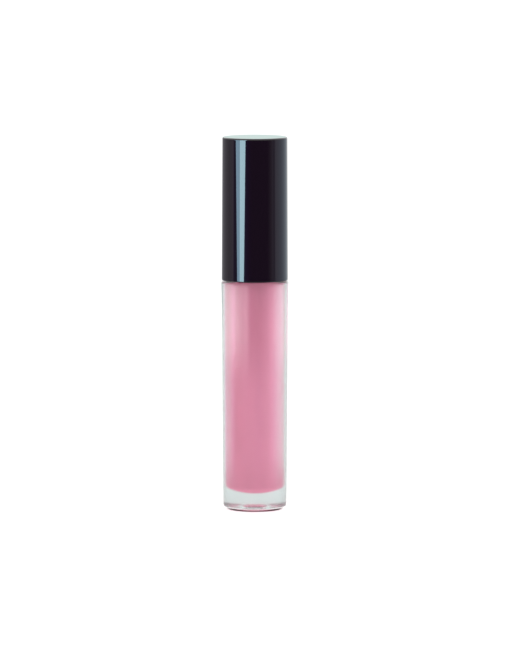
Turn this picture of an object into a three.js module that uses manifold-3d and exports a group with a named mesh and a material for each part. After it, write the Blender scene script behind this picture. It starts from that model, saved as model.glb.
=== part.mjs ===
// Lip gloss tube: a thick-walled bottle of gloss, closed by a screw cap that carries the applicator.
// Millimetres, +Z up. The origin is the centre of the flat base that the tube stands on.
// Each turned piece is an outline in (radius, height), drawn anticlockwise and turned round Z.
import * as THREE from 'three';
import { mergeVertices } from 'three/addons/utils/BufferGeometryUtils.js';
import Module from 'manifold-3d';

const wasm = await Module();
wasm.setup();

// Driving dimensions of the whole tube.
const OVERALL_HEIGHT = 107;
const CAP_LENGTH = 41;
const CAP_TOP_R = 9.3;
const CAP_MOUTH_R = 9.48;
const BASE_R = 9.06;
const WAIST_R = 9.37;
const WAIST_Z = 49; // the wall flares a little more above this height
const SHOULDER_R = 9.6;

// Gaps between pieces.
const CAP_GAP = 0.35; // from the bottle's shoulder up to the cap's rim
const SEAT_GAP = 0.05; // between flat faces that rest on each other
const FIT_GAP = 0.1; // all round a plug in its socket
const REST_GAP = 0.4; // under the cap's loose weight

// Bottle.
const HEEL_R = 0.5; // rounding between the wall and the underside
const FOOT_R = 5.2; // outer edge of the flat ring that the tube stands on
const UNDERSIDE_SLOPE = THREE.MathUtils.degToRad(14); // rise of the underside outside that ring
const SHOULDER_EDGE_R = 0.4;
const RECESS_R = 3; // small round recess in the middle of the base
const RECESS_DEPTH = 1.7;
const RECESS_FILLET = 0.9; // between its ceiling and its wall
const RECESS_LIP = 0.6; // rounding between its wall and the base
const NECK_R = 6.6;
const NECK_HEIGHT = 13.5;
const NECK_CHAMFER = 0.3;
const MOUTH_R = 5.5;
const CAVITY_R = 5.3; // at the bottom of the straight bore
const CAVITY_FLOOR_Z = 5.05;
const CAVITY_DISH_R = 11; // the cavity's floor is part of this sphere
const CAVITY_CORNER_R = 1;

// Screw thread: one start, right-handed. One and a half turns take the cap off it.
const LEAD = 3;
const THREAD_TURNS = 1.25;
const THREAD_DEPTH = 0.75;
const THREAD_BURIED = 0.3; // depth of a ridge's root inside its wall
const THREAD_FADE = 0.12; // share of the ridge's length over which each end runs out
const NECK_THREAD_Z = 71.5; // middle of the neck's ridge where it starts
const NECK_THREAD_ROOT = 1.6; // width of the ridge at its root
const NECK_THREAD_CREST = 0.7;
const CAP_THREAD_ROOT = 1.3;
const CAP_THREAD_CREST = 0.5;
const THREAD_OFFSET = 1.3; // from the neck's ridge down to the cap's ridge, which pulls up against it

// Gloss, and the well that the applicator takes up in it.
const GLOSS_TOP_Z = 68.5;
const WELL_R = 2.45;
const WELL_FLOOR_Z = 6.6;

// Wiper.
const WIPER_FLANGE_R = 6.3;
const WIPER_FLANGE = 0.7;
const WIPER_LENGTH = 9;
const WIPER_WALL = 0.9;
const WIPER_CONE = 3; // height of the cone that narrows to the orifice
const ORIFICE_R = 2.25;
const ORIFICE_LIP = 0.6;

// Sealing washer.
const WASHER_R = 6.5;
const WASHER_BORE_R = 2.7;
const WASHER_THICKNESS = 1;

// Cap shell.
const SHELL_WALL = 1;
const SHELL_TOP = 1.5;
const SHELL_EDGE_R = 0.45;

// Threaded liner inside the shell.
const LINER_RECESS = 0.6; // from the shell's rim up to the liner's
const LINER_BORE_R = 7.6;
const LINER_CEILING = 1.5;
const LINER_CUP_R = 7.3;
const LINER_CUP_DEPTH = 6;
const LINER_BOSS_R = 4;
const LINER_RIBS = 6;
const LINER_RIB_THICKNESS = 0.9;
const LINER_RIB_HEIGHT = 5;
const RIB_OVERLAP = 0.2; // how far a rib's ends go into the boss and the wall

// Cap weight.
const WEIGHT_R = 7.9;
const WEIGHT_BORE_R = 3.5;
const WEIGHT_HEIGHT = 6;

// Applicator.
const PLUG_R = 2.4;
const BARB_R = 2.85;
const BARB_TOP_R = 1.8;
const BARB_HEIGHT = 1.5;
const ROD_R = 1.9;
const SPIGOT_R = 1;
const SPIGOT_LENGTH = 5;
const TIP_BOTTOM_Z = 7;
const TIP_LENGTH = 13.4;
const TIP_R = 2.05;
const TIP_NECK_R = 1.9;
const TIP_NECK_LENGTH = 3;
const TIP_FACE_TILT = 0.26; // radians between the slanted face and the rod
const TIP_FACE_X = 0.15; // where the slanted face's plane meets the tip's lowest level

// Round label in the base's recess.
const LABEL_R = 2.1;
const LABEL_THICKNESS = 0.12;

// Facets.
const SEGMENTS = 36;
const ARC_STEPS = 2; // three.js gives an arc twice as many chords

// Heights that follow from the dimensions above.
const HEEL_START_R = BASE_R - HEEL_R + HEEL_R * Math.sin(UNDERSIDE_SLOPE);
const HEEL_START_Z = (HEEL_START_R - FOOT_R) * Math.tan(UNDERSIDE_SLOPE);
const HEEL_Z = HEEL_START_Z + HEEL_R * Math.cos(UNDERSIDE_SLOPE);
const CAP_MOUTH_Z = OVERALL_HEIGHT - CAP_LENGTH;
const SHOULDER_Z = CAP_MOUTH_Z - CAP_GAP;
const NECK_TOP_Z = SHOULDER_Z + NECK_HEIGHT;
const FLANGE_Z = NECK_TOP_Z + SEAT_GAP;
const WASHER_Z = FLANGE_Z + WIPER_FLANGE + SEAT_GAP;
const CEILING_Z = WASHER_Z + WASHER_THICKNESS + SEAT_GAP;
const LINER_FLOOR_Z = CEILING_Z + LINER_CEILING;
const LINER_TOP_Z = LINER_FLOOR_Z + LINER_CUP_DEPTH;
const TIP_TOP_Z = TIP_BOTTOM_Z + TIP_LENGTH;
const SHELL_BORE_R = CAP_TOP_R - SHELL_WALL;

function startAt(radius, height) {
  return new THREE.Path().moveTo(radius, height);
}

function turned(points) {
  return new THREE.LatheGeometry(points, SEGMENTS).rotateX(Math.PI / 2);
}

function turnedOutline(outline) {
  return turned(outline.getPoints(ARC_STEPS));
}

// A flat ring that stands on Z = 0.
function ring(boreRadius, radius, height) {
  const outline = startAt(boreRadius, 0);
  outline.lineTo(radius, 0);
  outline.lineTo(radius, height);
  outline.lineTo(boreRadius, height);
  outline.closePath();
  return turnedOutline(outline);
}

// A closed three.js geometry as a manifold-3d solid.
function solid(geometry) {
  geometry.deleteAttribute('normal');
  geometry.deleteAttribute('uv');
  const merged = mergeVertices(geometry);
  return new wasm.Manifold(new wasm.Mesh({
    numProp: 3,
    vertProperties: new Float32Array(merged.attributes.position.array),
    triVerts: new Uint32Array(merged.index.array),
  }));
}

// A manifold-3d solid as a three.js geometry.
function surface(body) {
  const mesh = body.getMesh();
  const geometry = new THREE.BufferGeometry();
  geometry.setAttribute('position', new THREE.BufferAttribute(mesh.vertProperties, 3));
  geometry.setIndex(new THREE.BufferAttribute(mesh.triVerts, 1));
  geometry.computeVertexNormals();
  return geometry;
}

// A thread's ridge: a trapezoid extruded along Z, then bent round Z into a rising helix.
// Its ends sink into the wall that it grows from.
function ridge(rootR, crestR, rootWidth, crestWidth, startZ) {
  const section = new THREE.Shape();
  section.moveTo(rootR, -rootWidth / 2);
  section.lineTo(crestR, -crestWidth / 2);
  section.lineTo(crestR, crestWidth / 2);
  section.lineTo(rootR, rootWidth / 2);
  section.closePath();
  const steps = Math.round(SEGMENTS * THREAD_TURNS);
  const geometry = new THREE.ExtrudeGeometry(section, { depth: 1, steps, bevelEnabled: false });
  const point = geometry.attributes.position;
  for (let i = 0; i < point.count; i += 1) {
    const along = 1 - point.getZ(i);
    const fromEnd = Math.max(Math.min(along, 1 - along), THREAD_FADE ** 2);
    const radius = rootR + (point.getX(i) - rootR) * Math.min(1, fromEnd / THREAD_FADE);
    const angle = 2 * Math.PI * THREAD_TURNS * along;
    const height = startZ + LEAD * THREAD_TURNS * along + point.getY(i);
    point.setXYZ(i, radius * Math.cos(angle), radius * Math.sin(angle), height);
  }
  return geometry;
}

// Adds the bottle's bore to an outline, from the top down to the middle of its dished floor.
// The bore is narrower all round by inset.
function traceCavity(outline, topR, topZ, inset) {
  const dishZ = CAVITY_FLOOR_Z + CAVITY_DISH_R;
  const cornerX = CAVITY_R - CAVITY_CORNER_R;
  const cornerZ = dishZ - Math.sqrt((CAVITY_DISH_R - CAVITY_CORNER_R) ** 2 - cornerX ** 2);
  const joinAngle = Math.atan2(cornerZ - dishZ, cornerX);
  outline.lineTo(topR - inset, topZ);
  outline.absarc(cornerX, cornerZ, CAVITY_CORNER_R - inset, 0, joinAngle, true);
  outline.absarc(0, dishZ, CAVITY_DISH_R - inset, joinAngle, -Math.PI / 2, true);
}

function tubeBody() {
  const outline = startAt(0, RECESS_DEPTH);
  outline.lineTo(RECESS_R - RECESS_FILLET, RECESS_DEPTH);
  outline.absarc(RECESS_R - RECESS_FILLET, RECESS_DEPTH - RECESS_FILLET, RECESS_FILLET, Math.PI / 2, 0, true);
  outline.absarc(RECESS_R + RECESS_LIP, RECESS_LIP, RECESS_LIP, Math.PI, 1.5 * Math.PI, false);
  outline.lineTo(FOOT_R, 0);
  outline.absarc(BASE_R - HEEL_R, HEEL_Z, HEEL_R, UNDERSIDE_SLOPE - Math.PI / 2, 0, false);
  outline.lineTo(WAIST_R, WAIST_Z);
  const edgeZ = SHOULDER_Z - SHOULDER_EDGE_R;
  outline.absarc(SHOULDER_R - SHOULDER_EDGE_R, edgeZ, SHOULDER_EDGE_R, 0, Math.PI / 2, false);
  outline.lineTo(NECK_R, SHOULDER_Z);
  outline.lineTo(NECK_R, NECK_TOP_Z - NECK_CHAMFER);
  outline.lineTo(NECK_R - NECK_CHAMFER, NECK_TOP_Z);
  traceCavity(outline, MOUTH_R, NECK_TOP_Z, 0);
  const rootR = NECK_R - THREAD_BURIED;
  const crestR = NECK_R + THREAD_DEPTH;
  const thread = ridge(rootR, crestR, NECK_THREAD_ROOT, NECK_THREAD_CREST, NECK_THREAD_Z);
  return surface(solid(turnedOutline(outline)).add(solid(thread)));
}

// The gloss outline runs down the bore like the bottle's, so it is reversed to face outwards.
function glossFill() {
  const outline = startAt(0, WELL_FLOOR_Z);
  outline.lineTo(WELL_R, WELL_FLOOR_Z);
  outline.lineTo(WELL_R, GLOSS_TOP_Z);
  const topR = THREE.MathUtils.mapLinear(GLOSS_TOP_Z, CAVITY_FLOOR_Z, NECK_TOP_Z, CAVITY_R, MOUTH_R);
  traceCavity(outline, topR, GLOSS_TOP_Z, FIT_GAP);
  return turned(outline.getPoints(ARC_STEPS).reverse());
}

function wiper() {
  const bottom = FLANGE_Z - WIPER_LENGTH;
  const top = FLANGE_Z + WIPER_FLANGE;
  const plugR = CAVITY_R;
  const outline = startAt(ORIFICE_R, bottom);
  outline.lineTo(ORIFICE_R + WIPER_WALL, bottom);
  outline.lineTo(plugR, bottom + WIPER_CONE);
  outline.lineTo(plugR, FLANGE_Z);
  outline.lineTo(WIPER_FLANGE_R, FLANGE_Z);
  outline.lineTo(WIPER_FLANGE_R, top);
  outline.lineTo(plugR - WIPER_WALL, top);
  outline.lineTo(plugR - WIPER_WALL, bottom + WIPER_CONE);
  outline.lineTo(ORIFICE_R, bottom + ORIFICE_LIP);
  outline.closePath();
  return turnedOutline(outline);
}

function outerCap() {
  const outline = startAt(0, OVERALL_HEIGHT - SHELL_TOP);
  outline.lineTo(SHELL_BORE_R, OVERALL_HEIGHT - SHELL_TOP);
  outline.lineTo(SHELL_BORE_R, CAP_MOUTH_Z);
  outline.lineTo(CAP_MOUTH_R, CAP_MOUTH_Z);
  const edgeZ = OVERALL_HEIGHT - SHELL_EDGE_R;
  outline.absarc(CAP_TOP_R - SHELL_EDGE_R, edgeZ, SHELL_EDGE_R, 0, Math.PI / 2, false);
  outline.lineTo(0, OVERALL_HEIGHT);
  return turnedOutline(outline);
}

function linerRib(angle) {
  const length = LINER_CUP_R - LINER_BOSS_R + 2 * RIB_OVERLAP;
  const height = LINER_RIB_HEIGHT + RIB_OVERLAP;
  const box = new THREE.BoxGeometry(length, LINER_RIB_THICKNESS, height);
  const middleZ = LINER_FLOOR_Z - RIB_OVERLAP + height / 2;
  return box.translate((LINER_CUP_R + LINER_BOSS_R) / 2, 0, middleZ).rotateZ(angle);
}

function innerCap() {
  const mouthZ = CAP_MOUTH_Z + LINER_RECESS;
  const linerR = SHELL_BORE_R - FIT_GAP;
  const outline = startAt(LINER_BORE_R, mouthZ);
  outline.lineTo(linerR, mouthZ);
  outline.lineTo(linerR, LINER_TOP_Z);
  outline.lineTo(LINER_CUP_R, LINER_TOP_Z);
  outline.lineTo(LINER_CUP_R, LINER_FLOOR_Z);
  outline.lineTo(LINER_BOSS_R, LINER_FLOOR_Z);
  outline.lineTo(LINER_BOSS_R, LINER_TOP_Z);
  outline.lineTo(PLUG_R + FIT_GAP, LINER_TOP_Z);
  outline.lineTo(PLUG_R + FIT_GAP, CEILING_Z);
  outline.lineTo(LINER_BORE_R, CEILING_Z);
  outline.closePath();
  const rootR = LINER_BORE_R + THREAD_BURIED;
  const crestR = LINER_BORE_R - THREAD_DEPTH;
  const threadZ = NECK_THREAD_Z - THREAD_OFFSET;
  const thread = ridge(rootR, crestR, CAP_THREAD_ROOT, CAP_THREAD_CREST, threadZ);
  let body = solid(turnedOutline(outline)).add(solid(thread));
  for (let i = 0; i < LINER_RIBS; i += 1) {
    body = body.add(solid(linerRib((i * 2 * Math.PI) / LINER_RIBS)));
  }
  return surface(body);
}

function applicatorRod() {
  const shoulderZ = TIP_TOP_Z + SEAT_GAP;
  const barbZ = LINER_TOP_Z + SEAT_GAP;
  const outline = startAt(0, shoulderZ - SPIGOT_LENGTH);
  outline.lineTo(SPIGOT_R, shoulderZ - SPIGOT_LENGTH);
  outline.lineTo(SPIGOT_R, shoulderZ);
  outline.lineTo(ROD_R, shoulderZ);
  outline.lineTo(ROD_R, WASHER_Z);
  outline.lineTo(PLUG_R, WASHER_Z + WASHER_THICKNESS / 2);
  outline.lineTo(PLUG_R, barbZ);
  outline.lineTo(BARB_R, barbZ);
  outline.lineTo(BARB_TOP_R, barbZ + BARB_HEIGHT);
  outline.lineTo(0, barbZ + BARB_HEIGHT);
  return turnedOutline(outline);
}

// A flocked bullet with a socket for the rod's spigot, cut to a slanted face.
function applicatorTip() {
  const socketR = SPIGOT_R + FIT_GAP;
  const socketZ = TIP_TOP_Z - SPIGOT_LENGTH - FIT_GAP;
  const outline = startAt(0, TIP_BOTTOM_Z);
  outline.absarc(0, TIP_BOTTOM_Z + TIP_R, TIP_R, -Math.PI / 2, 0, false);
  outline.lineTo(TIP_R, TIP_TOP_Z - TIP_NECK_LENGTH);
  outline.lineTo(TIP_NECK_R, TIP_TOP_Z);
  outline.lineTo(socketR, TIP_TOP_Z);
  outline.lineTo(socketR, socketZ);
  outline.lineTo(0, socketZ);
  const size = 3 * TIP_LENGTH;
  const cutter = new THREE.BoxGeometry(size, size, size);
  cutter.translate(size / 2, 0, 0).rotateY(TIP_FACE_TILT).translate(TIP_FACE_X, 0, TIP_BOTTOM_Z);
  return surface(solid(turnedOutline(outline)).subtract(solid(cutter)));
}

function shadeLabel() {
  return new THREE.CylinderGeometry(LABEL_R, LABEL_R, LABEL_THICKNESS, SEGMENTS).rotateX(Math.PI / 2);
}

function material(color, roughness, metalness) {
  return new THREE.MeshStandardMaterial({ color, roughness, metalness });
}

function part(name, geometry, look, z = 0) {
  const mesh = new THREE.Mesh(geometry, look);
  mesh.name = name;
  mesh.position.z = z;
  return mesh;
}

const bottle = new THREE.Group();
bottle.add(
  part('tube_body', tubeBody(), material(0xdfeae6, 0.35, 0)),
  part('gloss_fill', glossFill(), material(0xd9889f, 0.3, 0)),
  part('wiper', wiper(), material(0xf1f0ec, 0.5, 0)),
  part('shade_label', shadeLabel(), material(0x8a2f45, 0.6, 0),
    RECESS_DEPTH - SEAT_GAP - LABEL_THICKNESS / 2),
);

const cap = new THREE.Group();
cap.add(
  part('outer_cap', outerCap(), material(0x0b090c, 0.06, 0)),
  part('inner_cap', innerCap(), material(0x1b1b1d, 0.5, 0)),
  part('cap_weight', ring(WEIGHT_BORE_R, WEIGHT_R, WEIGHT_HEIGHT), material(0x9a9b9e, 0.35, 1),
    LINER_TOP_Z + REST_GAP),
  part('sealing_washer', ring(WASHER_BORE_R, WASHER_R, WASHER_THICKNESS), material(0xe9e6df, 0.8, 0),
    WASHER_Z),
  part('applicator_rod', applicatorRod(), material(0x161517, 0.35, 0)),
  part('applicator_tip', applicatorTip(), material(0xf0e6e6, 0.95, 0)),
);

const lipGlossTube = new THREE.Group();
lipGlossTube.add(bottle, cap);

export default lipGlossTube;
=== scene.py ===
"""The looks of a lip gloss tube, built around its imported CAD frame.

Lengths are in millimetres until a mesh or the camera is placed, where MM turns them into metres.
+Z is up, and the camera looks along +Y."""

import math
import random

import bmesh
import bpy
from mathutils import Matrix, Vector


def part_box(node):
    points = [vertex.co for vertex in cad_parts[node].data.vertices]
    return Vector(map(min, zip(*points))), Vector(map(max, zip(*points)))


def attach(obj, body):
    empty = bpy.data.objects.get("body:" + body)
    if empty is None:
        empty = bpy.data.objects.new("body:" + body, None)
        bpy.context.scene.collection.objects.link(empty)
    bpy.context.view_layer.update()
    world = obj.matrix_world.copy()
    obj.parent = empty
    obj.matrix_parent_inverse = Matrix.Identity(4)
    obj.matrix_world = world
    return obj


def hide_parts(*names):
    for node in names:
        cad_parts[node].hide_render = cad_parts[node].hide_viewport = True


MM = 0.001
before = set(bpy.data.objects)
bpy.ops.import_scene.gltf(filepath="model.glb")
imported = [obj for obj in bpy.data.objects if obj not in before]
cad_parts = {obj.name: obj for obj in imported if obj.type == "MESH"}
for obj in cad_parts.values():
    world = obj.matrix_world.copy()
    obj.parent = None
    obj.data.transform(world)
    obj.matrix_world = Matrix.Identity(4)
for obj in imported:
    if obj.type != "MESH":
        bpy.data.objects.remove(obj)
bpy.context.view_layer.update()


# ---------------------------------------------------------------- sizes, from the frame

def extent(node):
    """A turned node's outer radius, bottom and top, in millimetres."""
    low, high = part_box(node)
    return high.x / MM, low.z / MM, high.z / MM


SHOULDER_R, _, NECK_TOP_Z = extent("tube_body")
CAP_MOUTH_R, CAP_MOUTH_Z, HEIGHT = extent("outer_cap")
LINER_R, LINER_MOUTH_Z, LINER_TOP_Z = extent("inner_cap")
FLANGE_R, WIPER_BOTTOM_Z, FLANGE_TOP_Z = extent("wiper")
WASHER_R, WASHER_Z, WASHER_TOP_Z = extent("sealing_washer")
WEIGHT_R, WEIGHT_Z, WEIGHT_TOP_Z = extent("cap_weight")
BARB_R, SPIGOT_Z, BARB_TOP_Z = extent("applicator_rod")
LABEL_R, LABEL_Z, LABEL_TOP_Z = extent("shade_label")
TIP_BOTTOM_Z, TIP_TOP_Z = extent("applicator_tip")[1:]
GLOSS_FLOOR_Z, GLOSS_TOP_Z = extent("gloss_fill")[1:]

# The rest repeats the CAD's own dimensions.
BASE_R = 9.06
HEEL_R = 0.5
FOOT_R = 5.2
FOOT_FILLET = 2
UNDERSIDE_SLOPE = math.radians(14)
HEEL_START_R = BASE_R - HEEL_R + HEEL_R * math.sin(UNDERSIDE_SLOPE)
HEEL_START_Z = (HEEL_START_R - FOOT_R) * math.tan(UNDERSIDE_SLOPE)
HEEL_Z = HEEL_START_Z + HEEL_R * math.cos(UNDERSIDE_SLOPE)
FLARE_SHARE = 0.22
FLARE_POWER = 12
SHOULDER_EDGE_R = 0.4
CAP_GAP = 0.35
SHOULDER_Z = CAP_MOUTH_Z - CAP_GAP
RECESS_R = 3
RECESS_DEPTH = 1.7
RECESS_FILLET = 0.9
RECESS_LIP = 0.6
NECK_R = 6.6
MOUTH_R = 5.5
CAVITY_R = 5.3
CAVITY_DISH_R = 11
CAVITY_CORNER_R = 1
FACE_GAP = 0.05
FIT_GAP = 0.1
CAVITY_FLOOR_Z = GLOSS_FLOOR_Z - FIT_GAP
WELL_R = 2.45
WELL_FLOOR_Z = 6.6
CAP_TOP_R = 9.3
SHELL_WALL = 1
SHELL_BORE_R = CAP_TOP_R - SHELL_WALL
SHELL_TOP = 1.5
LINER_BORE_R = 7.6
CEILING_Z = WASHER_TOP_Z + FACE_GAP
LINER_WEB = 1.5
LINER_FLOOR_Z = CEILING_Z + LINER_WEB
LINER_CUP_R = 7.3
LINER_BOSS_R = 4
LINER_RIBS = 6
RIB_THICKNESS = 0.9
RIB_HEIGHT = 5
RIB_OVERLAP = 0.2
PLUG_R = 2.4
ROD_R = 1.9
BARB_TOP_R = 1.8
COLLAR_TAPER = 0.5
SPIGOT_R = 1
TIP_R = 2.05
TIP_TAPER = 3
TIP_FACE_TILT = 0.26
TIP_FACE_X = 0.15
TIP_FACE_HOLLOW = 0.12
WASHER_BORE_R = 2.7
WEIGHT_BORE_R = 3.5
ORIFICE_R = 2.25
WIPER_WALL = 0.9
WIPER_CONE = 3
WIPER_RIDGES = (1.5, 3.5)  # heights above the cone
WIPER_RIDGE_DEPTH = 0.12
WIPER_FLANGE = 0.7
LEAD = 3
THREAD_TURNS = 1.25
THREAD_DEPTH = 0.75
THREAD_FADE = 0.1  # of a turn, over which the thread rises from its start and sinks to its end
NECK_THREAD_Z = 71.5
NECK_THREAD_ROOT = 1.6
NECK_THREAD_CREST = 0.5
CAP_THREAD_Z = 70.2
CAP_THREAD_ROOT = 1.3
CAP_THREAD_CREST = 0.4

# The gloss and the label reach a hair into the plastic, which hides the joints.
GLOSS_OVERLAP = 0.03
LABEL_OVERLAP = 0.06
GLOSS_SINK = 0.3  # how far the gloss's level lies below the line where it meets the wall

GLOSS_COLOUR = (0.77, 0.247, 0.368)
GLOSS_STREAKS = 0.03
LABEL_COLOUR = (0.78, 0.55, 0.6)
PETG_IOR = 1.57
ROD_COLOUR = (0.01, 0.01, 0.011)
ROD_WET_TOP_Z = 50

# The floor is a square, its half side in metres. Its colour is a painted shadow under the bottle and its
# glow a painted light round that shadow; both go by the distance in millimetres from a point a little behind
# the tube's axis.
FLOOR_HALF = 20
FLOOR_GAP = 0.02
FLOOR_COLOUR = (0.6, 0.6, 0.6)
# FLOOR_SHADE and SHADE paint a shadow onto the floor under the bottle; GLOW paints light onto the floor
# round it.
FLOOR_SHADE = (0.08, 0.045, 0.055)
SHADE_R = 7.2
SHADE_BACK = 1.8
SHADE = [(0, FLOOR_SHADE), (SHADE_R, FLOOR_SHADE), (SHADE_R + 0.5, FLOOR_COLOUR), (80, FLOOR_COLOUR)]
GLOW = [(SHADE_R + 0.2, 0), (SHADE_R + 1.2, 0.7), (16, 0.3), (40, 0.1), (80, 0.06)]

WORLD_COLOUR = (1.75, 1.75, 1.75)
BACKDROP = (0.92, 1.1, 1.06)

# The studio's panels have their light or their corners by the angle to the right of the camera, in degrees.
# The cap mirrors a dim room with two bright strips in it.
ROOM = [
    (-165, (0.42, 0.42, 0.45)), (-100, (0.46, 0.44, 0.5)), (-81, (0.6, 0.53, 0.7)), (-78, (0.18, 0.16, 0.3)),
    (-34, (0.16, 0.17, 0.42)), (-24, (0.13, 0.09, 0.23)), (-10, (0.12, 0.08, 0.15)),
    (45, (0.12, 0.08, 0.15)), (56, (0.25, 0.2, 0.28)), (66, (0.42, 0.38, 0.5)), (71, (0.25, 0.22, 0.32)),
    (77, (0.7, 0.68, 0.85)), (105, (0.72, 0.82, 1.0)), (150, (0.9, 1.05, 1.15)),
]
SCREEN_STEP = 5
ROOM_DISTANCE = 500
ROOM_HEIGHT = 220
STRIP_DISTANCE = 490
STRIPS = [
    ("outer", (3.9, 6.1, 7.9), [(-63, 20), (-54, 20), (-54, 150), (-80, 150)]),
    ("inner", (8, 12, 13.8), [(-54, 20), (-39, 20), (-26, 150), (-54, 150)]),
]
BACKDROP_CORNERS = [(160, 110), (200, 110), (200, 200), (160, 200)]
# The bottle alone mirrors white cards close to it, and the floor and the room through them. The upper ones
# end level with the cap's mouth. Their stops are set one by one.
CARD_DISTANCE = 90
CARD_STEP_Z = 35
CARD_TOP_Z = 57
LOW_CARDS = [
    (-180, (0, 0, 0)), (-142, (0, 0.2, 0.1)), (-120, (1.3, 1.2, 1.6)), (-100, (1.3, 2.5, 2.1)),
    (-84, (2.4, 1.5, 2.3)), (-68, (1.6, 0.5, 0.7)), (-50, (2.2, 0.8, 1.2)), (0, (2.7, 1.2, 1.8)),
    (12, (1.7, 0.8, 1.4)), (24, (2.5, 1.1, 1.7)), (46, (2.8, 1.5, 2)), (58, (4.4, 2, 3.1)),
    (72, (4, 3.1, 3.9)), (100, (2.8, 4.1, 4)), (124, (0.4, 1.6, 1.3)), (142, (0, 0, 0)), (180, (0, 0, 0)),
]
HIGH_CARDS = [
    (-180, (0, 0, 0)), (-142, (0.2, 0.4, 0.3)), (-120, (2.3, 2.3, 2.5)), (-98, (3.2, 4.5, 3.8)),
    (-76, (7.4, 6, 7.3)), (-62, (4.3, 4.5, 4.2)), (-50, (4.3, 3.8, 4)), (-40, (3.5, 2.7, 3)),
    (-28, (4.8, 3.9, 4.2)), (-18, (0.5, 0, 0.2)), (16, (0, 0, 0)), (34, (1.3, 0.6, 0.9)),
    (46, (2.7, 1.5, 2)), (58, (4.7, 2.4, 3.2)), (80, (5.2, 5.1, 5.6)), (104, (4.4, 5.5, 5.5)),
    (124, (0.6, 1.4, 1)), (142, (0.8, 0.2, 0.4)), (180, (0, 0, 0)),
]
# A sheet close behind the bottle and a disc of light under it show only through the clear plastic.
SHEET = [
    (-180, (0.88, 0.88, 0.88)), (-132, (0.88, 0.88, 0.88)), (-122, (1, 1.12, 1.09)), (122, (1, 1.12, 1.09)),
    (132, (0.88, 0.88, 0.88)), (180, (0.88, 0.88, 0.88)),
]
SHEET_GAP = 1
SHEET_ANGLES = range(60, 301, 6)
UNDERGLOW = (2.2, 2.15, 2.18)
UNDERGLOW_R = 8.4

CAMERA_AT = (0, -1493, 209.4)
CAMERA_AIM = (-0.54, 0, HEIGHT / 2 + 0.15)
CAMERA_LENS = 292.6
CAMERA_SENSOR = 36

FIBRES = 2600
FIBRE_SEED = 7
FIBRE_R = 0.025
FIBRE_LENGTH = 0.16
FIBRE_SHORTEST = 0.7
FIBRE_ROOT = 0.02
FIBRE_LEAN = 0.35
FIBRE_MARGIN = 0.4

SEGMENTS = 192
TURNED_SEGMENTS = 128
SMALL_SEGMENTS = 96
ARC_CHORDS = 6
WALL_ROWS = 32
THREAD_ROW = 0.1
THREAD_MARGIN = 1.2
TIP_ROW = 0.2
HOLD = 0.12  # length of the short chord that keeps a straight stretch's shading flat up to a rounding
SHARP = 38  # degrees between faces from which an edge is shaded as an edge
NOISE_LOW, NOISE_HIGH = 0.3, 0.7  # the range that most of a noise lies in
# The sides of a box whose corners are listed by x, then by y, then by z.
BOX_FACES = [(0, 1, 3, 2), (4, 5, 7, 6), (0, 1, 5, 4), (2, 3, 7, 6), (0, 2, 6, 4), (1, 3, 7, 5)]


# ---------------------------------------------------------------- outlines

def rounded(corners, closed=False):
    """Turns corners (radius, height, fillet) into an outline, with each fillet as an arc."""
    outline = []
    last = len(corners) - 1
    for i, (r, z, fillet) in enumerate(corners):
        here = Vector((r, z))
        if fillet == 0 or (not closed and i in (0, last)):
            outline.append(here)
            continue
        to_before = (Vector(corners[i - 1][:2]) - here).normalized()
        to_after = (Vector(corners[(i + 1) % len(corners)][:2]) - here).normalized()
        half = to_before.angle(to_after) / 2
        middle = here + (to_before + to_after).normalized() * fillet / math.sin(half)
        start = here + to_before * fillet / math.tan(half) - middle
        end = here + to_after * fillet / math.tan(half) - middle
        for step in range(ARC_CHORDS + 1):
            outline.append(middle + fillet * start.slerp(end, step / ARC_CHORDS))
    return outline


def arc(centre_r, centre_z, radius, start, end, chords=3 * ARC_CHORDS):
    """Points of an arc round (centre_r, centre_z), with its angles in radians."""
    angles = [start + (end - start) * step / chords for step in range(chords + 1)]
    return [Vector((centre_r + radius * math.cos(a), centre_z + radius * math.sin(a))) for a in angles]


def held(outline, closed=False):
    """Adds a short chord at both ends of each straight stretch, so that it is shaded flat."""
    points = []
    pairs = list(zip(outline, outline[1:] + outline[:1]))
    for a, b in pairs if closed else pairs[:-1]:
        points.append(a)
        length = (b - a).length
        if length > 4 * HOLD:
            points.append(a.lerp(b, HOLD / length))
            points.append(b.lerp(a, HOLD / length))
    return points if closed else points + [outline[-1]]


# ---------------------------------------------------------------- meshes

def mesh_object(name, vertices, faces):
    """A mesh object from points in millimetres, smooth except at its sharp edges."""
    mesh = bpy.data.meshes.new(name)
    mesh.from_pydata([Vector(v) * MM for v in vertices], [], faces)
    welded = bmesh.new()
    welded.from_mesh(mesh)
    bmesh.ops.remove_doubles(welded, verts=welded.verts, dist=1e-8)
    bmesh.ops.recalc_face_normals(welded, faces=welded.faces)
    welded.to_mesh(mesh)
    welded.free()
    mesh.shade_smooth()
    mesh.set_sharp_from_angle(angle=math.radians(SHARP))
    thing = bpy.data.objects.new(name, mesh)
    bpy.context.scene.collection.objects.link(thing)
    return thing


def turned(name, outline, closed=False, relief=None, segments=SEGMENTS):
    """Turns an outline round Z. relief(angle, radius, height) gives how far a point stands out."""
    points = held(outline, closed)
    vertices = []
    rings = []
    for r, z in points:
        if r < 1e-6:
            rings.append([len(vertices)] * segments)
            vertices.append((0, 0, z))
            continue
        rings.append(range(len(vertices), len(vertices) + segments))
        for step in range(segments):
            angle = 2 * math.pi * step / segments
            radius = r + (relief(angle, r, z) if relief else 0)
            vertices.append((radius * math.cos(angle), radius * math.sin(angle), z))
    faces = []
    pairs = list(zip(rings, list(rings[1:]) + [rings[0]]))
    for low, high in pairs if closed else pairs[:-1]:
        for step in range(segments):
            after = (step + 1) % segments
            corners = [low[step], low[after], high[after], high[step]]
            face = list(dict.fromkeys(corners))
            if len(face) > 2:
                faces.append(face)
    return mesh_object(name, vertices, faces)


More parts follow.
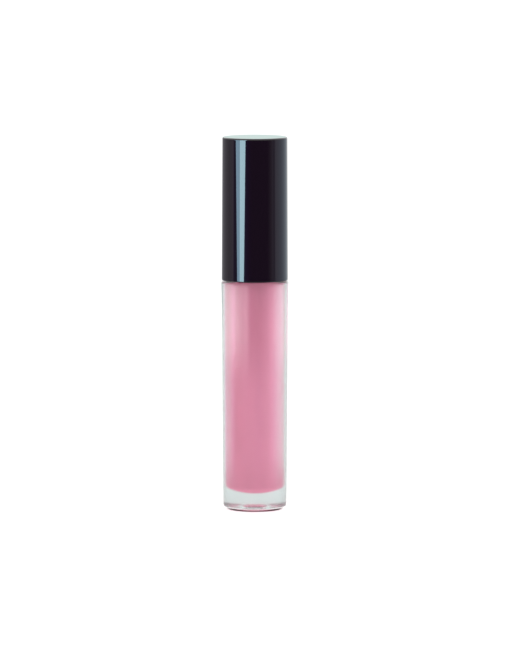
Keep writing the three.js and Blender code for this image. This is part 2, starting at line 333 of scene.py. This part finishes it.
def helix_relief(wall_r, start_z, depth, root_width, crest_width):
    """Relief of a one-start thread on the wall at wall_r. A negative depth grows inwards, in a bore."""
    def relief(angle, r, z):
        if abs(r - wall_r) > 0.01:
            return 0
        tallest = 0
        for turn in (0, 1):
            along = angle / (2 * math.pi) + turn
            if along > THREAD_TURNS:
                continue
            fade = smooth(min(along, THREAD_TURNS - along) / THREAD_FADE)
            off = abs(z - start_z - LEAD * along) * 2
            flank = (root_width - off) / (root_width - crest_width)
            tallest = max(tallest, smooth(flank) * fade)
        return depth * tallest
    return relief


def smooth(share):
    """0 up to 0, 1 from 1, and an S-shaped curve between them."""
    share = min(max(share, 0), 1)
    return share * share * (3 - 2 * share)


def rows(r, low, high, step):
    """Points up a straight wall, about a step apart, so that it can carry a relief or be cut."""
    count = round((high - low) / step)
    return [Vector((r, low + (high - low) * i / count)) for i in range(count + 1)]


# ---------------------------------------------------------------- bottle

def cavity(top_r, top_z, inset):
    """The bore's outline from the top down to the middle of its dished floor."""
    dish_z = CAVITY_FLOOR_Z + CAVITY_DISH_R
    corner_x = CAVITY_R - CAVITY_CORNER_R
    corner_z = dish_z - math.sqrt((CAVITY_DISH_R - CAVITY_CORNER_R) ** 2 - corner_x ** 2)
    join = math.atan2(corner_z - dish_z, corner_x)
    wall = [Vector((top_r - inset, top_z))]
    corner = arc(corner_x, corner_z, CAVITY_CORNER_R - inset, 0, join)
    dish = arc(0, dish_z, CAVITY_DISH_R - inset, join, -math.pi / 2)
    dish[-1].x = 0
    return wall + corner + dish[1:]


def bore_r(z):
    return CAVITY_R + (MOUTH_R - CAVITY_R) * (z - CAVITY_FLOOR_Z) / (NECK_TOP_Z - CAVITY_FLOOR_Z)


def outer_wall():
    """The bottle's wall from the heel to the shoulder: an even draft that flares a little at the top."""
    top_z = SHOULDER_Z - SHOULDER_EDGE_R
    points = []
    for i in range(1, WALL_ROWS):
        share = i / WALL_ROWS
        draft = (1 - FLARE_SHARE) * share + FLARE_SHARE * share ** FLARE_POWER
        points.append(Vector((BASE_R + (SHOULDER_R - BASE_R) * draft, HEEL_Z + (top_z - HEEL_Z) * share)))
    return points


def make_tube():
    """The outline goes from the recess round the outside, the neck and the rim to the bore's floor.

    Where a stretch joins the next one, its end corners only give it a direction, and are dropped."""
    base = rounded([(0, RECESS_DEPTH, 0), (RECESS_R, RECESS_DEPTH, RECESS_FILLET), (RECESS_R, 0, RECESS_LIP),
                    (FOOT_R, 0, FOOT_FILLET), (HEEL_START_R, HEEL_START_Z, 0)])[:-1]
    heel = arc(BASE_R - HEEL_R, HEEL_Z, HEEL_R, UNDERSIDE_SLOPE - math.pi / 2, 0)
    edge_z = SHOULDER_Z - SHOULDER_EDGE_R
    shoulder = arc(SHOULDER_R - SHOULDER_EDGE_R, edge_z, SHOULDER_EDGE_R, 0, math.pi / 2)
    root = rounded([(SHOULDER_R, SHOULDER_Z, 0), (NECK_R, SHOULDER_Z, 0.3),
                    (NECK_R, SHOULDER_Z + 2, 0)])[1:-1]
    neck = rows(NECK_R, NECK_THREAD_Z - THREAD_MARGIN, NECK_TOP_Z - 2.2, THREAD_ROW)
    rim = rounded([(NECK_R, NECK_TOP_Z - 2, 0), (NECK_R, NECK_TOP_Z, 0.3), (MOUTH_R, NECK_TOP_Z, 0.15),
                   (MOUTH_R, NECK_TOP_Z - 2, 0)])[1:-1]
    bore = cavity(bore_r(NECK_TOP_Z - 0.5), NECK_TOP_Z - 0.5, 0)
    outline = base + heel + outer_wall() + shoulder + root + neck + rim + bore
    thread = helix_relief(NECK_R, NECK_THREAD_Z, THREAD_DEPTH, NECK_THREAD_ROOT, NECK_THREAD_CREST)
    return turned("tube_shell", outline, relief=thread)


def make_gloss():
    outer = cavity(bore_r(GLOSS_TOP_Z), GLOSS_TOP_Z, -GLOSS_OVERLAP)
    level_z = GLOSS_TOP_Z - GLOSS_SINK
    # The level has a low rim round the well, and climbs to the wall.
    well = [Vector((0, WELL_FLOOR_Z)), Vector((WELL_R, WELL_FLOOR_Z)), Vector((WELL_R, level_z - 0.05))]
    meniscus = [Vector((WELL_R + 0.1, level_z + 0.05)), Vector((WELL_R + 0.6, level_z)),
                Vector((bore_r(GLOSS_TOP_Z) - 0.7, level_z))]
    return turned("gloss", well + meniscus + outer)


def make_wiper():
    """A plug with two ridges that hold it in the bore, and a cone that ends in the orifice."""
    bottom = WIPER_BOTTOM_Z
    cone_z = bottom + WIPER_CONE
    flange_z = FLANGE_TOP_Z - WIPER_FLANGE
    ridges = []
    for height in WIPER_RIDGES:
        ridge_z = cone_z + height
        ridges += [(CAVITY_R, ridge_z - 0.3, 0), (CAVITY_R + WIPER_RIDGE_DEPTH, ridge_z, 0.1),
                   (CAVITY_R, ridge_z + 0.3, 0)]
    corners = [
        (ORIFICE_R, bottom, 0.15), (ORIFICE_R + WIPER_WALL, bottom, 0.3), (CAVITY_R, cone_z, 0.5), *ridges,
        (CAVITY_R, flange_z, 0.05), (FLANGE_R, flange_z, 0.15), (FLANGE_R, FLANGE_TOP_Z, 0.25),
        (CAVITY_R - WIPER_WALL, FLANGE_TOP_Z, 0.5), (CAVITY_R - WIPER_WALL, cone_z, 0.6),
        (ORIFICE_R, bottom + 0.6, 0.15),
    ]
    return turned("wiper_plug", rounded(corners, closed=True), closed=True, segments=TURNED_SEGMENTS)


def make_label():
    top_z = LABEL_TOP_Z + LABEL_OVERLAP
    corners = [(0, LABEL_Z, 0), (LABEL_R, LABEL_Z, 0.03), (LABEL_R, top_z, 0.03), (0, top_z, 0)]
    return turned("shade_dot", rounded(corners), segments=SMALL_SEGMENTS)


# ---------------------------------------------------------------- cap

def make_shell():
    ceiling_z = HEIGHT - SHELL_TOP
    corners = [(0, ceiling_z, 0), (SHELL_BORE_R, ceiling_z, 0.6), (SHELL_BORE_R, CAP_MOUTH_Z, 0.2),
               (CAP_MOUTH_R, CAP_MOUTH_Z, 0.22), (CAP_TOP_R, HEIGHT, 0.45), (0, HEIGHT, 0)]
    return turned("cap_shell", rounded(corners))


def make_liner():
    corners = [
        (LINER_BORE_R, LINER_MOUTH_Z, 0.12), (LINER_R, LINER_MOUTH_Z, 0.15), (LINER_R, LINER_TOP_Z, 0.2),
        (LINER_CUP_R, LINER_TOP_Z, 0.15), (LINER_CUP_R, LINER_FLOOR_Z, 0.4),
        (LINER_BOSS_R, LINER_FLOOR_Z, 0.4), (LINER_BOSS_R, LINER_TOP_Z, 0.2),
        (PLUG_R + FIT_GAP, LINER_TOP_Z, 0.1), (PLUG_R + FIT_GAP, CEILING_Z, 0.1),
        (LINER_BORE_R, CEILING_Z, 0.3),
    ]
    outline = rounded(corners, closed=True)
    thread_end_z = CAP_THREAD_Z + LEAD * THREAD_TURNS
    bore = rows(LINER_BORE_R, CAP_THREAD_Z - THREAD_MARGIN, thread_end_z + THREAD_MARGIN, THREAD_ROW)
    thread = helix_relief(LINER_BORE_R, CAP_THREAD_Z, -THREAD_DEPTH, CAP_THREAD_ROOT, CAP_THREAD_CREST)
    liner = turned("threaded_liner", outline + bore[::-1], closed=True, relief=thread)
    add_ribs(liner)
    return liner


def add_ribs(liner):
    """Ribs from the boss out to the cup's wall, joined to the liner as one solid."""
    ribs = []
    for i in range(LINER_RIBS):
        turn = Matrix.Rotation(2 * math.pi * i / LINER_RIBS, 3, "Z")
        corners = [turn @ Vector((r, y, z))
                   for r in (LINER_BOSS_R - RIB_OVERLAP, LINER_CUP_R + RIB_OVERLAP)
                   for y in (-RIB_THICKNESS / 2, RIB_THICKNESS / 2)
                   for z in (LINER_FLOOR_Z - RIB_OVERLAP, LINER_FLOOR_Z + RIB_HEIGHT)]
        rib = mesh_object("rib", corners, BOX_FACES)
        union = liner.modifiers.new("rib", "BOOLEAN")
        union.operation = "UNION"
        union.solver = "EXACT"
        union.object = rib
        ribs.append(rib)
    shaped = liner.evaluated_get(bpy.context.evaluated_depsgraph_get())
    liner.data = bpy.data.meshes.new_from_object(shaped)
    liner.modifiers.clear()
    liner.data.set_sharp_from_angle(angle=math.radians(SHARP))
    for rib in ribs:
        bpy.data.objects.remove(rib)


def make_weight():
    corners = [(WEIGHT_BORE_R, WEIGHT_Z, 0.3), (WEIGHT_R, WEIGHT_Z, 0.4), (WEIGHT_R, WEIGHT_TOP_Z, 0.4),
               (WEIGHT_BORE_R, WEIGHT_TOP_Z, 0.3)]
    return turned("steel_ring", rounded(corners, closed=True), closed=True, segments=TURNED_SEGMENTS)


def make_washer():
    corners = [(WASHER_BORE_R, WASHER_Z, 0.2), (WASHER_R, WASHER_Z, 0.2), (WASHER_R, WASHER_TOP_Z, 0.2),
               (WASHER_BORE_R, WASHER_TOP_Z, 0.2)]
    return turned("foam_washer", rounded(corners, closed=True), closed=True, segments=TURNED_SEGMENTS)


def make_rod():
    """A spigot for the tip, then the stem, its collar, and the barb that snaps into the liner."""
    shoulder_z = TIP_TOP_Z + FACE_GAP
    collar_z = WASHER_Z
    barb_z = LINER_TOP_Z + FACE_GAP
    corners = [
        (0, SPIGOT_Z, 0), (SPIGOT_R, SPIGOT_Z, 0.3), (SPIGOT_R, shoulder_z, 0.1),
        (ROD_R, shoulder_z, 0.2), (ROD_R, collar_z, 0.3), (PLUG_R, collar_z + COLLAR_TAPER, 0.2),
        (PLUG_R, barb_z, 0.05), (BARB_R, barb_z, 0.15), (BARB_TOP_R, BARB_TOP_Z, 0.4), (0, BARB_TOP_Z, 0),
    ]
    return turned("stem", rounded(corners), segments=SMALL_SEGMENTS)


def tip_face_x(z):
    """How far from the axis the slanted face lies at a height."""
    return TIP_FACE_X + (z - TIP_BOTTOM_Z) * math.tan(TIP_FACE_TILT)


def make_tip():
    """A bullet with one slanted, slightly hollow face, and a socket for the stem's spigot."""
    socket_r = SPIGOT_R + FIT_GAP
    socket_z = SPIGOT_Z - FIT_GAP
    dome = arc(0, TIP_BOTTOM_Z + TIP_R, TIP_R, -math.pi / 2, 0, 2 * ARC_CHORDS)
    dome[0].x = 0
    taper_z = TIP_TOP_Z - TIP_TAPER
    side = rows(TIP_R, TIP_BOTTOM_Z + TIP_R + TIP_ROW, taper_z, TIP_ROW)
    neck = rounded([(TIP_R, taper_z, 0), (ROD_R, TIP_TOP_Z, 0.3), (socket_r, TIP_TOP_Z, 0.1),
                    (socket_r, socket_z, 0), (0, socket_z, 0)])[1:]
    tip = turned("doe_foot", dome + side + neck, segments=SMALL_SEGMENTS)
    for vertex in tip.data.vertices:
        x, y, z = (c / MM for c in vertex.co)
        edge = tip_face_x(z)
        if x > edge and z < socket_z:
            vertex.co.x = (edge - TIP_FACE_HOLLOW * (1 - (y / TIP_R) ** 2)) * MM
    return tip


def make_flock(tip):
    """Short nylon fibres that stand out of the tip at seeded random places, each a closed thin spike."""
    rng = random.Random(FIBRE_SEED)
    top_z = (TIP_TOP_Z - FIBRE_MARGIN) * MM
    socket_r = (SPIGOT_R + 2 * FIT_GAP) * MM
    socket_z = (SPIGOT_Z - 2 * FIT_GAP) * MM
    faces = [face for face in tip.data.polygons if face.center.z < top_z
             and (face.center.xy.length > socket_r or face.center.z < socket_z)]
    chosen = rng.choices(faces, weights=[f.area for f in faces], k=FIBRES)
    vertices = []
    spikes = []
    for face in chosen:
        corners = [tip.data.vertices[v].co / MM for v in face.vertices]
        weights = [rng.random() for _ in corners]
        root = sum((c * w for c, w in zip(corners, weights)), Vector()) / sum(weights)
        lean = Vector((rng.uniform(-1, 1), rng.uniform(-1, 1), rng.uniform(-1, 1))) * FIBRE_LEAN
        outward = (face.normal + lean).normalized()
        across = outward.orthogonal().normalized() * FIBRE_R
        beside = outward.cross(across)
        first = len(vertices)
        for turn in range(3):
            angle = 2 * math.pi * turn / 3
            around = across * math.cos(angle) + beside * math.sin(angle)
            vertices.append(root - outward * FIBRE_ROOT + around)
        vertices.append(root + outward * rng.uniform(FIBRE_SHORTEST, 1) * FIBRE_LENGTH)
        spikes.append((first, first + 2, first + 1))
        spikes += [(first + a, first + (a + 1) % 3, first + 3) for a in range(3)]
    return mesh_object("flock", vertices, spikes)


# ---------------------------------------------------------------- materials

def principled(name, colour, roughness, **sockets):
    """A Principled material. Each further socket is named with underscores for spaces."""
    material = bpy.data.materials.new(name)
    material.use_nodes = True
    shader = material.node_tree.nodes["Principled BSDF"]
    shader.inputs["Base Color"].default_value = (*colour, 1)
    shader.inputs["Roughness"].default_value = roughness
    for socket, value in sockets.items():
        shader.inputs[socket.replace("_", " ")].default_value = value
    return material


def shader_of(material):
    return material.node_tree.nodes["Principled BSDF"]


def noise_pattern(material, size, detail=3, stretch=1):
    """A noise with spots of about size millimetres, drawn out along Z by stretch."""
    nodes, links = material.node_tree.nodes, material.node_tree.links
    place = nodes.new("ShaderNodeTexCoord")
    scale = nodes.new("ShaderNodeMapping")
    scale.inputs["Scale"].default_value = (1, 1, 1 / stretch)
    pattern = nodes.new("ShaderNodeTexNoise")
    pattern.inputs["Scale"].default_value = 1 / (size * MM)
    pattern.inputs["Detail"].default_value = detail
    links.new(place.outputs["Object"], scale.inputs["Vector"])
    links.new(scale.outputs["Vector"], pattern.inputs["Vector"])
    return pattern.outputs["Fac"]


def vary_roughness(material, pattern, low, high):
    nodes, links = material.node_tree.nodes, material.node_tree.links
    spread = nodes.new("ShaderNodeMapRange")
    spread.inputs["From Min"].default_value = NOISE_LOW
    spread.inputs["From Max"].default_value = NOISE_HIGH
    spread.inputs["To Min"].default_value = low
    spread.inputs["To Max"].default_value = high
    links.new(pattern, spread.inputs["Value"])
    links.new(spread.outputs["Result"], shader_of(material).inputs["Roughness"])


def ramp_of(material, value, stops):
    """The colour at a value between 0 and 1, as a list of (position, colour) says."""
    nodes, links = material.node_tree.nodes, material.node_tree.links
    ramp = nodes.new("ShaderNodeValToRGB")
    elements = ramp.color_ramp.elements
    for i, (position, colour) in enumerate(stops):
        stop = elements[i] if i < 2 else elements.new(1)
        stop.position = position
        stop.color = (*colour, 1)
    links.new(value, ramp.inputs["Fac"])
    return ramp.outputs["Color"]


def vary_colour(material, pattern, first, second, low=NOISE_LOW, high=NOISE_HIGH):
    """Goes from the first colour to the second as the pattern goes from low to high."""
    colour = ramp_of(material, pattern, [(low, first), (high, second)])
    material.node_tree.links.new(colour, shader_of(material).inputs["Base Color"])


def add_bump(material, pattern, depth):
    """Bump from a pattern, with a depth in millimetres."""
    nodes, links = material.node_tree.nodes, material.node_tree.links
    bump = nodes.new("ShaderNodeBump")
    bump.inputs["Strength"].default_value = 1
    bump.inputs["Distance"].default_value = depth * MM
    links.new(pattern, bump.inputs["Height"])
    links.new(bump.outputs["Normal"], shader_of(material).inputs["Normal"])


def frosted_plastic():
    """The bottle's outside: clear PETG with a fine frosted finish."""
    material = principled("frosted_clear", (0.74, 0.82, 0.81), 0.23, IOR=PETG_IOR, Transmission_Weight=1)
    vary_roughness(material, noise_pattern(material, 0.8), 0.21, 0.25)
    return material


def clear_plastic():
    """The polished heel, underside, neck and bore of the same bottle."""
    material = principled("polished_clear", (0.88, 0.9, 0.89), 0.06, IOR=PETG_IOR, Transmission_Weight=1)
    vary_roughness(material, noise_pattern(material, 2), 0.04, 0.1)
    return material


def gloss_at_wall():
    """Gloss where it wets the bore, so it has no shine of its own there."""
    material = principled("gloss_at_wall", GLOSS_COLOUR, 0.6, Specular_IOR_Level=0)
    tint_gloss(material)
    return material


def gloss_surface():
    """Gloss with a free surface, and so a wet shine."""
    material = principled("gloss_surface", GLOSS_COLOUR, 0.12, Coat_Weight=0.6, Coat_Roughness=0.05)
    tint_gloss(material)
    vary_roughness(material, noise_pattern(material, 1.5), 0.1, 0.2)
    return material


def tint_gloss(material):
    """Slow streaks a little paler and deeper than the gloss's colour."""
    pale = [c * (1 + GLOSS_STREAKS) for c in GLOSS_COLOUR]
    deep = [c * (1 - GLOSS_STREAKS) for c in GLOSS_COLOUR]
    vary_colour(material, noise_pattern(material, 4, detail=2, stretch=4), deep, pale)


def glossy_black():
    material = principled("glossy_black", (0.003, 0.001, 0.003), 0.04)
    vary_roughness(material, noise_pattern(material, 3), 0.03, 0.05)
    add_bump(material, noise_pattern(material, 6, detail=1, stretch=3), 0.004)
    return material


def liner_black():
    material = principled("liner_black", (0.012, 0.012, 0.013), 0.4)
    vary_roughness(material, noise_pattern(material, 0.6), 0.34, 0.48)
    add_bump(material, noise_pattern(material, 0.3), 0.008)
    return material


def soft_plastic():
    material = principled("soft_natural_plastic", (0.86, 0.86, 0.82), 0.42, Subsurface_Weight=0.3,
                          Subsurface_Radius=(0.001, 0.001, 0.0009))
    vary_roughness(material, noise_pattern(material, 0.8), 0.36, 0.5)
    add_bump(material, noise_pattern(material, 0.4), 0.01)
    return material


def washer_foam():
    material = principled("washer_foam", (0.8, 0.78, 0.72), 0.9)
    cells = noise_pattern(material, 0.18, detail=5)
    vary_colour(material, cells, (0.62, 0.6, 0.54), (0.86, 0.84, 0.79))
    vary_roughness(material, cells, 0.82, 0.95)
    add_bump(material, cells, 0.06)
    return material


def turned_steel():
    """Zinc-plated steel with the rings that a lathe leaves."""
    material = principled("turned_steel", (0.56, 0.56, 0.58), 0.3, Metallic=1)
    rings = noise_pattern(material, 0.35, detail=2, stretch=0.12)
    vary_roughness(material, rings, 0.24, 0.42)
    add_bump(material, rings, 0.01)
    vary_colour(material, noise_pattern(material, 3), (0.5, 0.5, 0.52), (0.62, 0.62, 0.64))
    return material


def wetted(material, dry, wet, wet_z, dry_z):
    """Colours a piece wet up to wet_z and dry from dry_z. A noise that is added to the height makes the
    edge between them ragged."""
    nodes, links = material.node_tree.nodes, material.node_tree.links
    place = nodes.new("ShaderNodeTexCoord")
    split = nodes.new("ShaderNodeSeparateXYZ")
    links.new(place.outputs["Object"], split.inputs["Vector"])
    rise = nodes.new("ShaderNodeMapRange")
    rise.inputs["From Min"].default_value = wet_z * MM
    rise.inputs["From Max"].default_value = dry_z * MM
    links.new(split.outputs["Z"], rise.inputs["Value"])
    ragged = nodes.new("ShaderNodeMath")
    ragged.operation = "ADD"
    links.new(rise.outputs["Result"], ragged.inputs[0])
    links.new(noise_pattern(material, 1.2, stretch=5), ragged.inputs[1])
    vary_colour(material, ragged.outputs["Value"], wet, dry, low=0.75, high=0.95)


def rod_plastic():
    """Black stem with a film of gloss left on its lower part."""
    material = principled("rod_plastic", ROD_COLOUR, 0.25, Coat_Weight=0.5, Coat_Roughness=0.08)
    wetted(material, ROD_COLOUR, [c * 0.8 for c in GLOSS_COLOUR], TIP_TOP_Z, ROD_WET_TOP_Z)
    vary_roughness(material, noise_pattern(material, 0.8, stretch=3), 0.18, 0.32)
    add_bump(material, noise_pattern(material, 1.2, stretch=5), 0.03)
    return material


def flocking():
    """White flock soaked with gloss."""
    material = principled("flocking", GLOSS_COLOUR, 0.5, Sheen_Weight=0.4, Sheen_Roughness=0.4)
    nap = noise_pattern(material, 0.25, detail=4)
    vary_colour(material, nap, [c * 0.8 for c in GLOSS_COLOUR], [0.3 + c * 0.7 for c in GLOSS_COLOUR])
    vary_roughness(material, nap, 0.3, 0.65)
    add_bump(material, nap, 0.05)
    return material


def label_film():
    material = principled("label_film", LABEL_COLOUR, 0.5)
    grain = noise_pattern(material, 0.4)
    vary_colour(material, grain, [c * 0.9 for c in LABEL_COLOUR], [c * 1.1 for c in LABEL_COLOUR])
    vary_roughness(material, grain, 0.45, 0.6)
    return material


def emitter(name, colour):
    material = bpy.data.materials.new(name)
    material.use_nodes = True
    nodes, links = material.node_tree.nodes, material.node_tree.links
    nodes.remove(nodes["Principled BSDF"])
    emission = nodes.new("ShaderNodeEmission")
    emission.inputs["Color"].default_value = (*colour, 1)
    links.new(emission.outputs["Emission"], nodes["Material Output"].inputs["Surface"])
    return material


# ---------------------------------------------------------------- assembly

def dress(thing, body, node, slot, *materials):
    for material in materials:
        thing.data.materials.append(material)
    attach(thing, body)
    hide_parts(node)
    return thing


def second_material_where(thing, test):
    """Gives the faces whose centre (radius, height) passes the test the piece's second material."""
    for face in thing.data.polygons:
        if test(face.center.xy.length / MM, face.center.z / MM):
            face.material_index = 1


def is_polished(r, z):
    """True on the bottle's underside outside the recess, on its neck and in its bore."""
    underside = z < HEEL_Z and r > RECESS_R + 0.2
    neck = z > SHOULDER_Z - 1 and r < NECK_R + THREAD_DEPTH + 0.1
    bore = z > CAVITY_FLOOR_Z - 0.1 and r < MOUTH_R + 0.5
    return underside or neck or bore


def is_free_surface(r, z):
    """True on the gloss's level and in the applicator's well."""
    level = z > GLOSS_TOP_Z - 0.4
    well = z > WELL_FLOOR_Z - 0.05 and r < WELL_R + 0.05
    return level or well


def build():
    """Makes every piece, and gives back the bottle and a list of the rest."""
    tube = dress(make_tube(), "bottle", "tube_body", "frosted_clear_plastic",
                 frosted_plastic(), clear_plastic())
    second_material_where(tube, is_polished)
    gloss = dress(make_gloss(), "bottle", "gloss_fill", "pink_gloss", gloss_at_wall(), gloss_surface())
    second_material_where(gloss, is_free_surface)
    flock_look = flocking()
    tip = make_tip()
    others = [
        gloss,
        dress(make_wiper(), "bottle", "wiper", "natural_soft_plastic", soft_plastic()),
        dress(make_label(), "bottle", "shade_label", "label_film", label_film()),
        dress(make_washer(), "washer", "sealing_washer", "washer_foam", washer_foam()),
        dress(make_weight(), "weight", "cap_weight", "weight_steel", turned_steel()),
        dress(make_shell(), "cap", "outer_cap", "gloss_black_plastic", glossy_black()),
        dress(make_liner(), "cap", "inner_cap", "black_liner_plastic", liner_black()),
        dress(make_rod(), "cap", "applicator_rod", "rod_plastic", rod_plastic()),
        dress(tip, "cap", "applicator_tip", "flocking", flock_look),
        dress(make_flock(tip), "cap", "applicator_tip", "flocking", flock_look),
    ]
    return tube, others


# ---------------------------------------------------------------- studio

def by_reach(material, colours):
    """A colour that depends on the distance from the object's origin, as (millimetres, colour) stops say."""
    nodes, links = material.node_tree.nodes, material.node_tree.links
    place = nodes.new("ShaderNodeTexCoord")
    reach = nodes.new("ShaderNodeVectorMath")
    reach.operation = "LENGTH"
    share = nodes.new("ShaderNodeMapRange")
    farthest = colours[-1][0]
    share.inputs["From Max"].default_value = farthest * MM
    links.new(place.outputs["Object"], reach.inputs["Vector"])
    links.new(reach.outputs["Value"], share.inputs["Value"])
    return ramp_of(material, share.outputs["Result"], [(r / farthest, colour) for r, colour in colours])


def make_floor():
    """A pale floor with a painted shadow under the bottle and a little behind it, and a painted glow round
    that shadow.
    """
    half = FLOOR_HALF / MM
    corners = [(x, y, -FLOOR_GAP) for x, y in ((-half, -half), (half, -half), (half, half), (-half, half))]
    floor = mesh_object("floor", corners, [(0, 1, 2, 3)])
    material = principled("pale_floor", FLOOR_COLOUR, 0.9, Specular_IOR_Level=0.1, Emission_Strength=1)
    links = material.node_tree.links
    # The base colour carries the painted shadow, and the emission the painted light round it.
    links.new(by_reach(material, SHADE), shader_of(material).inputs["Base Color"])
    glow_colour = by_reach(material, [(r, (light, light, light)) for r, light in GLOW])
    links.new(glow_colour, shader_of(material).inputs["Emission Color"])
    floor.data.materials.append(material)
    floor.location.y = SHADE_BACK * MM


def make_panel(name, distance, corners, material, seen_through=False):
    """An upright panel. Its corners, as (degrees, height), go along one edge and back along the other."""
    points = []
    for degrees, z in corners:
        azimuth = math.radians(degrees)
        points.append((distance * math.sin(azimuth), -distance * math.cos(azimuth), z))
    half = len(points) // 2
    faces = [(i, i + 1, -i - 2, -i - 1) for i in range(half - 1)]
    panel = mesh_object(name, points, [[v % len(points) for v in face] for face in faces])
    show_only(panel, material, seen_through)
    return panel


def show_only(panel, material, seen_through):
    """Shows a panel only through the clear plastic or, if not seen_through, only in reflections."""
    panel.data.materials.append(material)
    panel.visible_camera = False
    panel.visible_diffuse = False
    panel.visible_glossy = not seen_through
    panel.visible_transmission = seen_through


def make_underglow():
    """A disc of light under the base."""
    rim = [(p.x, p.y, -FLOOR_GAP / 2) for p in arc(0, 0, UNDERGLOW_R, 0, 2 * math.pi)[:-1]]
    disc = mesh_object("underglow", rim, [range(len(rim))])
    show_only(disc, emitter("underglow", UNDERGLOW), seen_through=True)


def light_by_angle(name, stops):
    """An emitter whose colour depends on its direction from the tube, as (degrees, colour) stops say."""
    material = emitter(name, (1, 1, 1))
    nodes, links = material.node_tree.nodes, material.node_tree.links
    place = nodes.new("ShaderNodeTexCoord")
    split = nodes.new("ShaderNodeSeparateXYZ")
    towards = nodes.new("ShaderNodeMath")
    towards.operation = "MULTIPLY"
    towards.inputs[1].default_value = -1
    turn = nodes.new("ShaderNodeMath")
    turn.operation = "ARCTAN2"
    share = nodes.new("ShaderNodeMapRange")
    share.inputs["From Min"].default_value = -math.pi
    share.inputs["From Max"].default_value = math.pi
    links.new(place.outputs["Object"], split.inputs["Vector"])
    links.new(split.outputs["Y"], towards.inputs[0])
    links.new(split.outputs["X"], turn.inputs[0])
    links.new(towards.outputs["Value"], turn.inputs[1])
    links.new(turn.outputs["Value"], share.inputs["Value"])
    shares = [(0.5 + degrees / 360, light) for degrees, light in stops]
    colour = ramp_of(material, share.outputs["Result"], shares)
    links.new(colour, nodes["Emission"].inputs["Color"])
    return material


def make_screen(name, distance, bottom_z, top_z, stops):
    """A curved screen round the tube, lit as its stops say."""
    angles = range(stops[0][0], stops[-1][0] + 1, SCREEN_STEP)
    corners = [(angle, bottom_z) for angle in angles] + [(angle, top_z) for angle in reversed(angles)]
    return make_panel(name, distance, corners, light_by_angle(name, stops))


def split_light(tree, target, seen, lighting):
    """Gives a target the colour seen, except in the light on matt surfaces, which is lighting."""
    path = tree.nodes.new("ShaderNodeLightPath")
    after_matt = tree.nodes.new("ShaderNodeMath")
    after_matt.operation = "GREATER_THAN"
    after_matt.inputs[1].default_value = 0.5
    either = tree.nodes.new("ShaderNodeMixRGB")
    either.inputs["Color2"].default_value = (*lighting, 1)
    tree.links.new(path.outputs["Diffuse Depth"], after_matt.inputs[0])
    tree.links.new(after_matt.outputs["Value"], either.inputs["Fac"])
    tree.links.new(seen, either.inputs["Color1"])
    tree.links.new(either.outputs["Color"], target)


def make_world():
    """White, but a little greener and dimmer as it shows through the clear plastic."""
    world = bpy.data.worlds.new("studio")
    world.use_nodes = True
    tree = world.node_tree
    path = tree.nodes.new("ShaderNodeLightPath")
    through = tree.nodes.new("ShaderNodeMixRGB")
    through.inputs["Color1"].default_value = (*WORLD_COLOUR, 1)
    through.inputs["Color2"].default_value = (*BACKDROP, 1)
    tree.links.new(path.outputs["Is Transmission Ray"], through.inputs["Fac"])
    split_light(tree, tree.nodes["Background"].inputs["Color"], through.outputs["Color"], WORLD_COLOUR)
    bpy.context.scene.world = world


def let_through(material):
    """Lets what is behind an emitter show through it."""
    nodes, links = material.node_tree.nodes, material.node_tree.links
    clear = nodes.new("ShaderNodeBsdfTransparent")
    both = nodes.new("ShaderNodeAddShader")
    links.new(nodes["Emission"].outputs["Emission"], both.inputs[0])
    links.new(clear.outputs["BSDF"], both.inputs[1])
    links.new(both.outputs["Shader"], nodes["Material Output"].inputs["Surface"])


def light_only(panels, pieces, name):
    """Keeps the panels' light to some of the pieces."""
    lit = bpy.data.collections.new(name)
    for piece in pieces:
        lit.objects.link(piece)
    for panel in panels:
        panel.light_linking.receiver_collection = lit


def make_cards(bottle):
    cards = [make_screen("low_cards", CARD_DISTANCE, 0, CARD_STEP_Z, LOW_CARDS),
             make_screen("high_cards", CARD_DISTANCE, CARD_STEP_Z, CARD_TOP_Z, HIGH_CARDS)]
    for card in cards:
        let_through(card.data.materials[0])
    light_only(cards, [bottle], "lit_by_cards")


def make_room(others):
    make_screen("room", ROOM_DISTANCE, 0, ROOM_HEIGHT, ROOM)
    strips = [make_panel("strip_" + name, STRIP_DISTANCE, corners, emitter(name, colour))
              for name, colour, corners in STRIPS]
    light_only(strips, others, "lit_by_strips")
    make_panel("backdrop", ROOM_DISTANCE, BACKDROP_CORNERS, emitter("backdrop", BACKDROP))


def make_sheet():
    """A curved sheet of light that shows through the bottle from behind."""
    corners = [(angle, 0) for angle in SHEET_ANGLES]
    corners += [(angle, SHOULDER_Z) for angle in reversed(SHEET_ANGLES)]
    light = light_by_angle("sheet", SHEET)
    glow = light.node_tree.nodes["Emission"].inputs["Color"]
    split_light(light.node_tree, glow, glow.links[0].from_socket, WORLD_COLOUR)
    make_panel("sheet", SHOULDER_R + SHEET_GAP, corners, light, seen_through=True)


def make_camera():
    camera = bpy.data.cameras.new("camera")
    camera.sensor_width = CAMERA_SENSOR
    camera.lens = CAMERA_LENS
    thing = bpy.data.objects.new("camera", camera)
    bpy.context.scene.collection.objects.link(thing)
    place = Vector(CAMERA_AT)
    view = Vector(CAMERA_AIM) - place
    thing.location = place * MM
    thing.rotation_euler = view.to_track_quat("-Z", "Y").to_euler()
    bpy.context.scene.camera = thing


make_camera()
make_floor()
make_world()
bottle, others = build()
make_cards(bottle)
make_room(others)
make_sheet()
make_underglow()
bpy.context.scene.view_settings.view_transform = "Standard"
